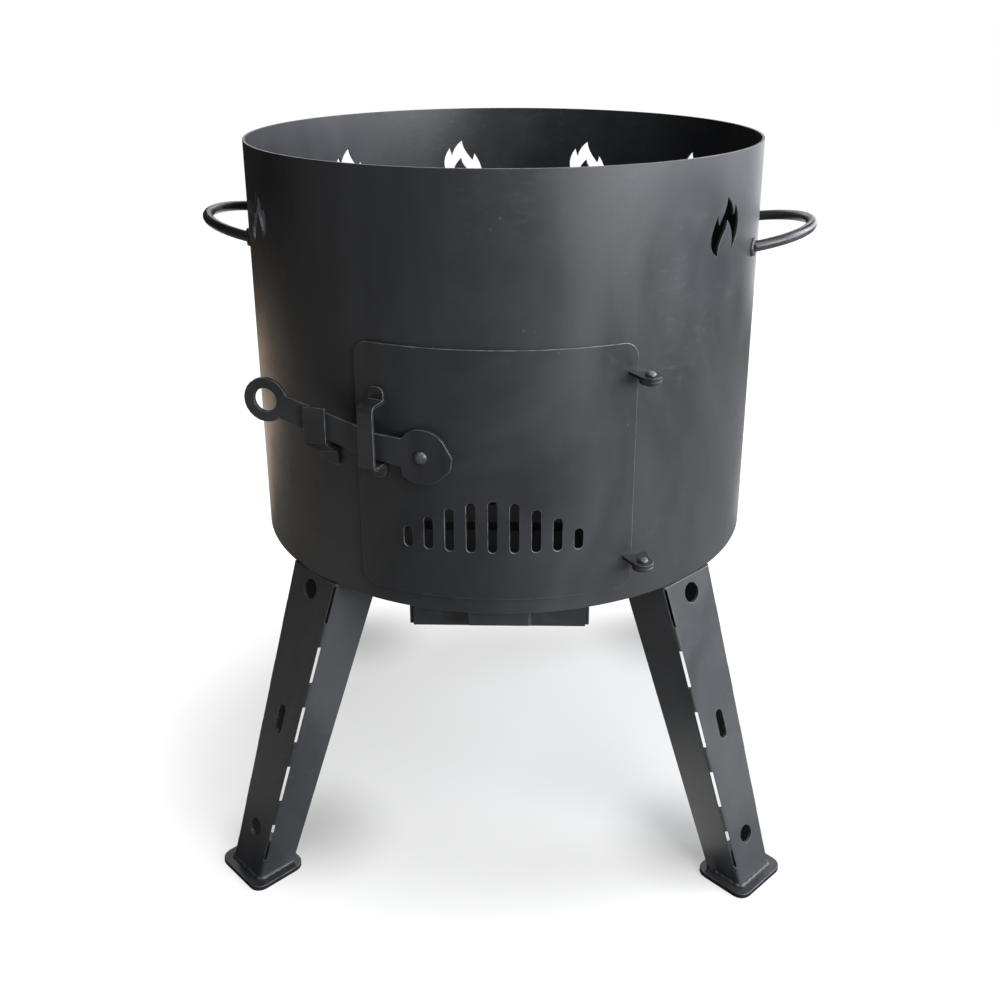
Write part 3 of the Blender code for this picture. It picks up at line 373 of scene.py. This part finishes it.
def weld_bead(name, path, faces_way, half_width, height, closed=False):
    """A bead along a path on a surface. Its thickness swells with each step of the torch."""
    bm = bmesh.new()
    sides, count = 8, len(path)
    ripple, ripple_steps, unevenness, drift = 0.16, 5, 0.07, 1.7
    end_share, end_growth = 0.35, 0.3

    def stand(n):
        """Where the bead's ring stands on the path, and how thick it is there."""
        before = path[n - 1] if n or closed else path[0]
        after = path[(n + 1) % count] if n < count - 1 or closed else path[-1]
        along = (after - before).normalized()
        up = faces_way(path[n]).normalized()
        side = along.cross(up).normalized()
        swell = 1 + ripple * math.sin(n * 2 * math.pi / ripple_steps) + unevenness * math.sin(n * drift)
        if not closed:
            swell *= min(1.0, end_share + end_growth * min(n, count - 1 - n))
        spot = Matrix((side * half_width * swell, up * height * swell, along)).transposed().to_4x4()
        spot.translation = path[n]
        return spot

    here = stand(0)
    bmesh.ops.create_circle(bm, cap_ends=False, radius=1.0, segments=sides, matrix=here)
    first = bm.edges[:]
    ring = first
    for n in range(1, count):
        there = stand(n)
        made = bmesh.ops.extrude_edge_only(bm, edges=ring)["geom"]
        moved = [v for v in made if isinstance(v, bmesh.types.BMVert)]
        ring = [e for e in made if isinstance(e, bmesh.types.BMEdge)]
        bmesh.ops.transform(bm, matrix=there @ here.inverted(), verts=moved)
        here = there
    if closed:
        bmesh.ops.bridge_loops(bm, edges=first + ring)
    else:
        bmesh.ops.holes_fill(bm, edges=bm.edges[:], sides=sides)
    bmesh.ops.recalc_face_normals(bm, faces=bm.faces[:])
    fit_piece(name, bm, weld_paint, "stove", smooth_deg=80.0)


def from_axis(point):
    """Straight away from the barrel's axis."""
    return Vector((point.x, point.y, 0))


seam_steps, seam_margin, seam_half_width, seam_height = 640, 0.002, 0.0026, 0.0011
seam_length = barrel_high - barrel_low - 2 * seam_margin
seam = [Vector((0, barrel_radius, barrel_low + seam_margin + seam_length * n / seam_steps))
        for n in range(seam_steps + 1)]
weld_bead("barrel_seam_weld", seam, from_axis, seam_half_width, seam_height)
stitch_count, stitch_deg, stitch_steps, stitch_z, stitch_inset = 8, 10, 72, 0.2426, 0.0006
stitch_half_width, stitch_height = 0.0020, 0.0016
stitch_radius = barrel_radius - barrel_wall - stitch_inset
for number in range(stitch_count):
    start_deg = (number + 0.5) * 360 / stitch_count - stitch_deg / 2
    turns = [math.radians(start_deg + stitch_deg * n / stitch_steps) for n in range(stitch_steps + 1)]
    stitch = [outward(a) * stitch_radius + upright * stitch_z for a in turns]
    weld_bead(f"floor_weld_{number + 1}", stitch, lambda p: upright - from_axis(p).normalized(),
              stitch_half_width, stitch_height)

# Floor of the barrel. A 3 mm disc with a square ash hole, welded in at the bottom of the barrel. The
# legs bolt under it.
floor_paint = satin_paint("floor_paint", shade=(0.018, 0.018, 0.019), smear_shade=(0.034, 0.034, 0.034),
                          gloss=0.48, dull=0.62, edge_shade=(0.07, 0.07, 0.07), cloud_size=14.0)


def joined_copy(node, flat_deg=0.5):
    """A copy of a plain solid, its loose triangles joined and its flat sides made whole."""
    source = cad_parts[node]
    bm = bmesh.new()
    bm.from_mesh(source.data)
    bm.transform(source.matrix_world)
    bmesh.ops.remove_doubles(bm, verts=bm.verts[:], dist=tiny)
    bmesh.ops.dissolve_limit(bm, angle_limit=math.radians(flat_deg), verts=bm.verts[:], edges=bm.edges[:])
    return bm


def eased_copy(node, name, finish, body, edge_round=sheet_edge_round, sharp_deg=40.0):
    """A plain solid with its edges rounded, in its own place."""
    bm = joined_copy(node)
    ease_edges(bm, edge_round, sharp_deg)
    return fit_piece(name, bm, finish, body, [node])


eased_copy("base_plate", "barrel_floor", floor_paint, "stove")

# Grate. A thick cast plate with two columns of slots, dropped loose into the ash hole. It is raw iron
# with a sandy skin and a trace of rust.
grate_iron = bpy.data.materials.new("grate_iron_skin")
grate_iron.use_nodes = True
iron_tree = grate_iron.node_tree
iron = iron_tree.nodes["Principled BSDF"]
iron.inputs["Metallic"].default_value = 0.35
iron_marks = add(iron_tree, "ShaderNodeGroup", [("Cloud Size", 30.0), ("Spot Size", 90.0)], node_tree=marks)
iron_tint = blend(iron_tree, iron_marks.outputs["Clouds"], (0.030, 0.030, 0.031), (0.050, 0.044, 0.040))
rust_shade, rust_strength = (0.105, 0.052, 0.028), 0.45
rust_share = product(iron_tree, iron_marks.outputs["Spots"], rust_strength)
iron_tree.links.new(blend(iron_tree, rust_share, iron_tint, rust_shade), iron.inputs["Base Color"])
iron_rough = add(iron_tree, "ShaderNodeMapRange", [
    ("Value", iron_marks.outputs["Clouds"]), ("To Min", 0.58), ("To Max", 0.78)])
iron_tree.links.new(iron_rough.outputs[0], iron.inputs["Roughness"])
iron_sand = add(iron_tree, "ShaderNodeGroup", [("Grain Size", 520.0)], node_tree=grain)
iron_bump = add(iron_tree, "ShaderNodeBump", [
    ("Height", iron_sand.outputs["Height"]), ("Strength", 0.55), ("Distance", 0.0005)])
iron_tree.links.new(iron_bump.outputs["Normal"], iron.inputs["Normal"])
eased_copy("grate", "grate_plate", grate_iron, "grate", edge_round=0.0007)

# Stoking door. A 2 mm plate rolled to the barrel's outside, with round corners and a fan of plain air
# slots. It hangs on two hinges and lies on the barrel.
door_wall, door_corner, door_edge_round = 0.002, 0.012, 0.0006
piece_gap = 0.0003
door_radius = barrel_radius + piece_gap + door_wall
slot_count, slot_width, slot_pitch, slot_foot = 9, 0.0065, 0.0155, 0.289
slot_short, slot_tall, slot_turn_deg = 0.016, 0.040, -1.0
just_under, scores_per_slot, score_margin = 0.999, 7, 0.001
door_left, door_right = (math.radians(turn) * door_radius for turn in (door_left_deg, door_right_deg))
door_edge = round_cornered(door_left, door_right, door_low, door_high, door_corner)
slot_middle = math.radians(slot_turn_deg) * door_radius
# The slots' ends are rounded by just under half their width, so that no two points fall together.
air_slots = []
for n in range(slot_count):
    along = (n - (slot_count - 1) / 2) / ((slot_count - 1) / 2)
    tall = slot_short + (slot_tall - slot_short) * math.cos(along * math.pi / 2)
    x = slot_middle + along * slot_pitch * (slot_count - 1) / 2
    air_slots.append(round_cornered(x - slot_width / 2, x + slot_width / 2, slot_foot, slot_foot + tall,
                                    slot_width / 2 * just_under))
score_pitch = slot_pitch / scores_per_slot
first_score = math.ceil((door_left + score_margin - slot_middle) / score_pitch)
last_score = math.floor((door_right - score_margin - slot_middle) / score_pitch)
door_scores = [slot_middle + n * score_pitch for n in range(first_score, last_score + 1)]
door = cut_sheet(door_edge, air_slots, door_scores)
roll_sheet(door, door_radius, door_wall)
ease_edges(door, door_edge_round)
# The door's paint is a little darker than the barrel's, as painted shade, and its edges lighter, as painted
# highlight.
door_paint = satin_paint("door_paint", shade=(0.012, 0.013, 0.0145), smear_shade=(0.026, 0.027, 0.0295),
                         gloss=0.33, dull=0.49, edge_shade=(0.17, 0.173, 0.176))
fit_piece("door_sheet", door, door_paint, "door", ["door_panel"], rolled=True)

# Hinges. Each is an ear on the door and an ear on the barrel, cut from 2.5 mm plate, with a domed pin
# through both. The ears are welded on.
# Its lighter edges are partly wear and partly painted highlight.
fitting_paint = satin_paint("fitting_paint", shade=(0.014, 0.0145, 0.016), smear_shade=(0.026, 0.027, 0.029),
                            gloss=0.32, dull=0.44, edge_shade=(0.15, 0.152, 0.155), cloud_size=26.0,
                            spot_size=90.0, peel=0.10)
for level in ("upper", "lower"):
    for carrier, body in (("door", "door"), ("barrel", "stove")):
        eased_copy(f"hinge_{level}_ear_{carrier}", f"hinge_{level}_{carrier}_leaf", fitting_paint, body)


def domed_rivet(name, node, axis, low, high, shank, head, rise, body):
    """A rivet or pin on an axis: a domed head whose top is lighter, partly rubbed bare and partly painted
    highlight, a shank and a flat closing head.
    """
    dome_steps, turn_steps, foot_bevel = 10, 32, 0.07
    dome_turns = [math.radians(90 * n / dome_steps) for n in range(dome_steps + 1)]
    dome = [Vector((head * math.cos(a), 0, high + rise * math.sin(a))) for a in dome_turns]
    dome[-1].x = 0.0
    foot = [Vector((0, 0, low - rise / 2)), Vector((head * (1 - foot_bevel), 0, low - rise / 2)),
            Vector((head, 0, low - rise / 2 + head * foot_bevel)), Vector((head, 0, low)),
            Vector((shank, 0, low)), Vector((shank, 0, high))]
    bm = bmesh.new()
    line = [bm.verts.new(p) for p in foot + dome]
    edges = [bm.edges.new(pair) for pair in zip(line, line[1:])]
    bmesh.ops.spin(bm, geom=line + edges, cent=(0, 0, 0), axis=(0, 0, 1), angle=2 * math.pi,
                   steps=turn_steps, use_merge=True)
    bmesh.ops.remove_doubles(bm, verts=bm.verts[:], dist=tiny)
    bmesh.ops.recalc_face_normals(bm, faces=bm.faces[:])
    # The dome gets lighter towards its top: partly wear, partly painted highlight.
    rubbed_and_highlit = bm.verts.layers.float.new("rubbed_and_highlit")
    for v in bm.verts:
        v[rubbed_and_highlit] = min(1.0, max(0.0, (v.co.z - high) / rise))
    bmesh.ops.transform(bm, matrix=axis, verts=bm.verts[:])
    fit_piece(name, bm, fitting_paint, body, [node], smooth_deg=50.0)


pin_turn_deg, pin_reach, pin_half_grip = 28.1, 0.0163, 0.00295
pin_shank, pin_head, pin_rise = 0.0027, 0.0040, 0.0028
pin_spot = outward(math.radians(pin_turn_deg)) * (barrel_radius + pin_reach)
for level, height in (("upper", 0.416), ("lower", 0.2748)):
    axis = Matrix.Translation((pin_spot.x, pin_spot.y, height))
    domed_rivet(f"hinge_{level}_rivet", f"hinge_{level}_pin", axis, -pin_half_grip, pin_half_grip, pin_shank,
                pin_head, pin_rise, "stove")

# Drop latch. A flat 3 mm lever with a round head and a pull ring, riveted to the door over a zinc
# washer. A bent strap on the door guides it and a hook on the barrel catches it.
eased_copy("latch_lever", "latch_bar", fitting_paint, "latch", edge_round=0.0004)
eased_copy("latch_guide", "latch_strap", fitting_paint, "door", edge_round=0.0005)
eased_copy("latch_keeper", "latch_hook", fitting_paint, "stove", edge_round=0.0004)
latch_turn, latch_height = math.radians(-14.5), 0.3612
washer_thick, lever_thick = 0.0012, 0.003
rivet_shank, rivet_head, rivet_rise = 0.0030, 0.0048, 0.0026
lever_face = door_radius + piece_gap + washer_thick + piece_gap + lever_thick
latch_axis = (Matrix.Translation((0, 0, latch_height)) @ Matrix.Rotation(latch_turn, 4, "Z")
              @ Matrix.Rotation(math.pi / 2, 4, "X"))
domed_rivet("latch_pivot_rivet", "latch_rivet", latch_axis, barrel_radius, lever_face + piece_gap,
            rivet_shank, rivet_head, rivet_rise, "door")

zinc = bpy.data.materials.new("zinc_plating")
zinc.use_nodes = True
zinc_tree = zinc.node_tree
plating = zinc_tree.nodes["Principled BSDF"]
plating.inputs["Metallic"].default_value = 0.9
zinc_marks = add(zinc_tree, "ShaderNodeGroup", [("Cloud Size", 120.0), ("Spot Size", 320.0)],
                 node_tree=marks)
zinc_tint = blend(zinc_tree, zinc_marks.outputs["Clouds"], (0.44, 0.45, 0.47), (0.30, 0.31, 0.33))
zinc_tree.links.new(zinc_tint, plating.inputs["Base Color"])
zinc_rough = add(zinc_tree, "ShaderNodeMapRange", [
    ("Value", zinc_marks.outputs["Clouds"]), ("To Min", 0.28), ("To Max", 0.45)])
zinc_tree.links.new(zinc_rough.outputs[0], plating.inputs["Roughness"])
eased_copy("latch_washer", "latch_spacer", zinc, "door", edge_round=0.0002)

# Carrying handles. Two round 8.4 mm bars, bent to bows and tilted up a little. Their ends are welded to
# the barrel's sides with a bead round each.
handle_half, handle_rise = 0.060, 0.4822
handle_weld_wide, handle_weld_tall, handle_weld_stand, handle_weld_steps = 0.0056, 0.0052, 0.0004, 40
handle_bead_half_width, handle_bead_height = 0.0019, 0.0018
for name, turn_deg in (("left", -95.0), ("right", 85.0)):
    bm = joined_copy(f"handle_{name}", flat_deg=0.05)
    fit_piece(f"handle_{name}_bow", bm, fitting_paint, "stove", [f"handle_{name}"],
              smooth_deg=50.0)
    for way in (-1, 1):
        root_turn = math.radians(turn_deg) + way * math.asin(handle_half / barrel_radius)
        root = outward(root_turn) * barrel_radius + upright * handle_rise
        along = Vector((math.cos(root_turn), math.sin(root_turn), 0))
        ring = []
        for n in range(handle_weld_steps):
            a = 2 * math.pi * n / handle_weld_steps
            spot = root + along * math.cos(a) * handle_weld_wide + upright * math.sin(a) * handle_weld_tall
            flat = Vector((spot.x, spot.y, 0)).normalized() * (barrel_radius + handle_weld_stand)
            ring.append(Vector((flat.x, flat.y, spot.z)))
        end = "back" if way * turn_deg > 0 else "front"
        weld_bead(f"handle_{name}_weld_{end}", ring, from_axis, handle_bead_half_width, handle_bead_height,
                  closed=True)

# Legs. Each is a 2.5 mm sheet folded to a tapering channel along two rows of slots. A bolt through its
# top tab holds it under the barrel's floor, and a foot plate is welded under it.
# The legs' paint is lighter than the barrel's, as painted light on the legs.
leg_paint = satin_paint("leg_paint", shade=(0.023, 0.024, 0.026), smear_shade=(0.038, 0.039, 0.042),
                        gloss=0.35, dull=0.43, edge_shade=(0.14, 0.143, 0.146), cloud_size=12.0,
                        spot_size=60.0)
# Near-black paint for the inside of the legs' channels: painted shade.
inside_painted_shade = satin_paint("inside_painted_shade", shade=(0.005, 0.005, 0.005), smear_shade=(0.008, 0.008, 0.008),
                           gloss=0.75, dull=0.85, edge_shade=(0.02, 0.02, 0.02), cloud_size=12.0,
                           spot_size=60.0)
foot_reach, foot_half, foot_depth, foot_bend, foot_top = 0.287, 0.01975, 0.032, 0.004, 0.0044
foot_bead_half_width, foot_bead_height = 0.0019, 0.0014
foot_side_steps, foot_bend_steps, foot_front_steps = 22, 5, 24


def shade_channel_inside(piece, turn):
    """Paints the channel's inside faces near-black: painted shade in its hollow."""
    piece.data.materials.append(inside_painted_shade)
    unturned, mostly = Matrix.Rotation(-turn, 3, "Z"), 0.6
    for face in piece.data.polygons:
        way, middle = unturned @ face.normal, unturned @ face.center
        if way.y > mostly or (abs(way.x) > mostly and way.x * middle.x < 0):
            face.material_index = 1


def foot_weld(number, turn):
    """The bead round the three outer sides of a leg on its foot plate."""
    straight = foot_half - foot_bend
    side = [(foot_half, foot_reach - foot_depth + (foot_depth - foot_bend) * n / foot_side_steps)
            for n in range(foot_side_steps)]
    half_path = side + round_arc((straight, foot_reach - foot_bend), foot_bend, 0, 90, foot_bend_steps)
    front = [(straight - 2 * straight * n / foot_front_steps, foot_reach)
             for n in range(1, foot_front_steps)]
    path = half_path + front + [(-x, y) for x, y in half_path[::-1]]
    turned = Matrix.Rotation(turn, 3, "Z")
    middle = turned @ Vector((0, foot_depth / 2 - foot_reach, foot_top))
    weld_bead(f"foot_{number}_weld", [turned @ Vector((x, -y, foot_top)) for x, y in path],
              lambda p: (p - middle).normalized() + upright, foot_bead_half_width, foot_bead_height)


for number, turn_deg in enumerate((-135, -45, 45, 135), 1):
    leg = eased_copy(f"leg_{number}", f"leg_{number}_channel", leg_paint, "stove",
                     sharp_deg=50.0)
    shade_channel_inside(leg, math.radians(turn_deg))
    foot_weld(number, math.radians(turn_deg))
    eased_copy(f"foot_{number}", f"foot_{number}_plate", fitting_paint, "stove",
               edge_round=0.0005)
    for node in (f"leg_bolt_{number}", f"leg_nut_{number}"):
        eased_copy(node, f"{node}_steel", zinc, "stove", edge_round=0.0004)

# Ash tray. An open sheet box on two folded rails under the floor. Its front plate and U-shaped pull
# show under the barrel.
tray_edge_round = 0.00025
tray_paint = satin_paint("tray_paint", shade=(0.017, 0.018, 0.019), smear_shade=(0.030, 0.030, 0.032),
                         gloss=0.44, dull=0.56, edge_shade=(0.08, 0.08, 0.082), cloud_size=16.0,
                         spot_size=70.0)
for node in ("ash_tray", "ash_tray_front", "ash_tray_pull"):
    eased_copy(node, f"{node}_sheet", tray_paint, "ash_drawer", tray_edge_round)
for side in ("left", "right"):
    eased_copy(f"tray_rail_{side}", f"tray_rail_{side}_fold", tray_paint, "stove",
               tray_edge_round)

# Studio. A pale floor, with a painted shadow under the stove and by its feet. Soft boxes stand on the right,
# with a weak one on the left, and hang high round the stove. Weak glows lie on the floor and light the
# stove's lower parts, the warm ones from behind and from the left.
floor_half_size, shadow_half_width, shadow_half_depth, shadow_forward = 30.0, 0.38, 0.32, 0.08
foot_spot = (0.160, 0.155, 0)
studio_floor = bmesh.new()
bmesh.ops.create_grid(studio_floor, x_segments=1, y_segments=1, size=floor_half_size)
floor_mesh = bpy.data.meshes.new("studio_floor")
studio_floor.to_mesh(floor_mesh)
studio_floor.free()
pale = bpy.data.materials.new("pale_floor")
pale.use_nodes = True
pale_tree = pale.node_tree
pale_shader = pale_tree.nodes["Principled BSDF"]
pale_shader.inputs["Base Color"].default_value = (0.22, 0.216, 0.21, 1)
pale_shader.inputs["Roughness"].default_value = 0.9
pale_shader.inputs["Specular IOR Level"].default_value = 0.1
pale_shader.inputs["Emission Color"].default_value = (1, 1, 1, 1)
floor_place = add(pale_tree, "ShaderNodeTexCoord")
floor_oval = add(pale_tree, "ShaderNodeVectorMath", [
    (0, floor_place.outputs["Object"]), (1, (1 / shadow_half_width, 1 / shadow_half_depth, 0)),
    (2, (0, shadow_forward, 0))], operation="MULTIPLY_ADD")
floor_reach = add(pale_tree, "ShaderNodeVectorMath", [(0, floor_oval.outputs[0])], operation="LENGTH")
# The floor's glow dims in an oval under the stove: a painted shadow.
floor_painted_shadow = add(pale_tree, "ShaderNodeMapRange", [
    ("Value", floor_reach.outputs["Value"]), ("From Min", 0.48), ("From Max", 1.12), ("To Min", 0.54),
    ("To Max", 1.0)], interpolation_type="SMOOTHSTEP")
one_quarter = add(pale_tree, "ShaderNodeVectorMath", [
    (0, floor_place.outputs["Object"])], operation="ABSOLUTE")
from_foot = add(pale_tree, "ShaderNodeVectorMath", [
    (0, one_quarter.outputs[0]), (1, foot_spot)], operation="DISTANCE")
# The glow also dims round each foot: a painted shadow.
foot_painted_shadow = add(pale_tree, "ShaderNodeMapRange", [
    ("Value", from_foot.outputs["Value"]), ("From Min", 0.0), ("From Max", 0.085), ("To Min", 0.5),
    ("To Max", 1.0)], interpolation_type="SMOOTHSTEP")
floor_seen = add(pale_tree, "ShaderNodeLightPath")
seen_share = add(pale_tree, "ShaderNodeMapRange", [
    ("Value", floor_seen.outputs["Is Camera Ray"]), ("To Min", 0.15), ("To Max", 1.0)])
floor_glow = product(pale_tree, floor_painted_shadow.outputs[0], foot_painted_shadow.outputs[0])
floor_shown = product(pale_tree, floor_glow, seen_share.outputs[0])
pale_tree.links.new(floor_shown, pale_shader.inputs["Emission Strength"])
floor_mesh.materials.append(pale)
floor = bpy.data.objects.new("studio_floor", floor_mesh)
bpy.context.scene.collection.objects.link(floor)
floor.visible_glossy = False


def soft_box(name, width, tall, power, colour):
    """An even rectangle of light that the camera doesn't see."""
    box = bpy.data.lights.new(name, "AREA")
    box.shape, box.size, box.size_y = "RECTANGLE", width, tall
    box.energy, box.color = power, colour
    lamp = bpy.data.objects.new(name, box)
    lamp.visible_camera = False
    bpy.context.scene.collection.objects.link(lamp)
    return lamp


cool, neutral, warm = (0.95, 0.98, 1.03), (1.0, 1.0, 1.0), (1.0, 0.74, 0.54)
for name, turn_deg, reach, height, aim_height, width, tall, power, colour in (
    ("right_light_1", 45, 1.6, 0.78, 0.6, 1.1, 0.6, 30, cool),
    ("right_light_2", 70, 1.6, 0.78, 0.6, 1.1, 0.6, 7.5, cool),
    ("right_light_3", 95, 1.6, 0.78, 0.6, 1.1, 0.6, 13.5, cool),
    ("right_light_4", 120, 1.6, 0.78, 0.6, 0.9, 0.6, 6.0, cool),
    ("back_right_light", 145, 1.6, 0.45, 0.4, 0.6, 0.8, 4.6, neutral),
    ("high_right_light", 98, 2.12, 1.7, 0.55, 1.2, 1.2, 51, (0.90, 0.96, 1.08)),
    ("high_front_light", 40.6, 1.84, 1.9, 0.55, 1.2, 1.2, 18, cool),
    ("high_back_light", 180, 2.0, 1.5, 0.5, 2.0, 0.8, 16, neutral),
    ("top_front_light", 15, 0.85, 2.3, 0.4, 1.2, 0.6, 18, neutral),
    ("left_light", -55, 1.8, 0.4, 0.35, 1.4, 0.8, 0.4, neutral),
):
    lamp = soft_box(name, width, tall, power, colour)
    lamp.location = outward(math.radians(turn_deg)) * reach + upright * height
    lamp.rotation_euler = (upright * aim_height - lamp.location).to_track_quat("-Z", "Y").to_euler()
glow_height, facing_up = 0.006, (math.pi, 0, 0)
for name, spot, width, depth, power, colour in (
    ("right_glow", (0.95, -0.1), 1.3, 2.0, 4.6, neutral),
    ("left_glow", (-1.05, -0.1), 1.1, 2.0, 2.3, (1.0, 0.93, 0.86)),
    ("back_right_glow", (0.25, 1.0), 0.5, 1.2, 2.6, (1.0, 0.95, 0.90)),
    ("back_glow", (-0.25, 1.0), 0.5, 1.2, 3.6, (1.0, 0.85, 0.72)),
    ("back_left_glow", (-0.75, 0.85), 0.8, 0.8, 3.0, warm),
    ("right_foot_glow", (0.72, -0.22), 0.4, 0.4, 0.85, neutral),
    ("inner_foot_glow", (0.08, -0.22), 0.14, 0.12, 0.06, neutral),
    ("left_foot_glow", (-0.42, -0.20), 0.2, 0.3, 0.11, neutral),
    ("front_glow", (0.05, -0.62), 0.8, 0.35, 0.38, neutral),
    ("under_glow", (0, 0), 0.4, 0.4, 0.15, neutral),
):
    glow = soft_box(name, width, depth, power, colour)
    glow.location, glow.rotation_euler = (*spot, glow_height), facing_up
world = bpy.data.worlds.new("studio_air")
bpy.context.scene.world = world
world.use_nodes = True
air = world.node_tree
background = air.nodes["Background"]
seen = add(air, "ShaderNodeLightPath")
air_shade = blend(air, seen.outputs["Is Camera Ray"], (0.02, 0.02, 0.02), (1.0, 1.0, 1.0))
air.links.new(air_shade, background.inputs["Color"])
bpy.context.scene.view_settings.view_transform = "Standard"

# Camera. It stands where the photograph was taken from, a little above the rim, and looks down at the
# door. Its lens and place were fitted to the photograph.
focal_pixels, picture_pixels, sensor_width, frame_shift = 1138.8, 1000, 36, -0.1
camera_back, camera_height, camera_turn = 0.932, 0.663, math.radians(1.25)
pitch, yaw, roll = math.radians(19.62), math.radians(-0.21), math.radians(-0.19)
camera_data = bpy.data.cameras.new("camera")
camera_data.lens = focal_pixels * sensor_width / picture_pixels
camera_data.shift_y, camera_data.clip_start = frame_shift, 0.01
ahead = Vector((math.sin(yaw) * math.cos(pitch), math.cos(yaw) * math.cos(pitch), -math.sin(pitch)))
right_way = Vector((math.cos(yaw), -math.sin(yaw), 0))
up_way = right_way.cross(ahead)
tilted_right = math.cos(roll) * right_way + math.sin(roll) * up_way
stand = Matrix((tilted_right, tilted_right.cross(ahead), -ahead)).transposed().to_4x4()
stand.translation = Vector((0, -camera_back, camera_height))
camera = bpy.data.objects.new("camera", camera_data)
camera.matrix_world = Matrix.Rotation(camera_turn, 4, "Z") @ stand
bpy.context.scene.collection.objects.link(camera)
bpy.context.scene.camera = camera
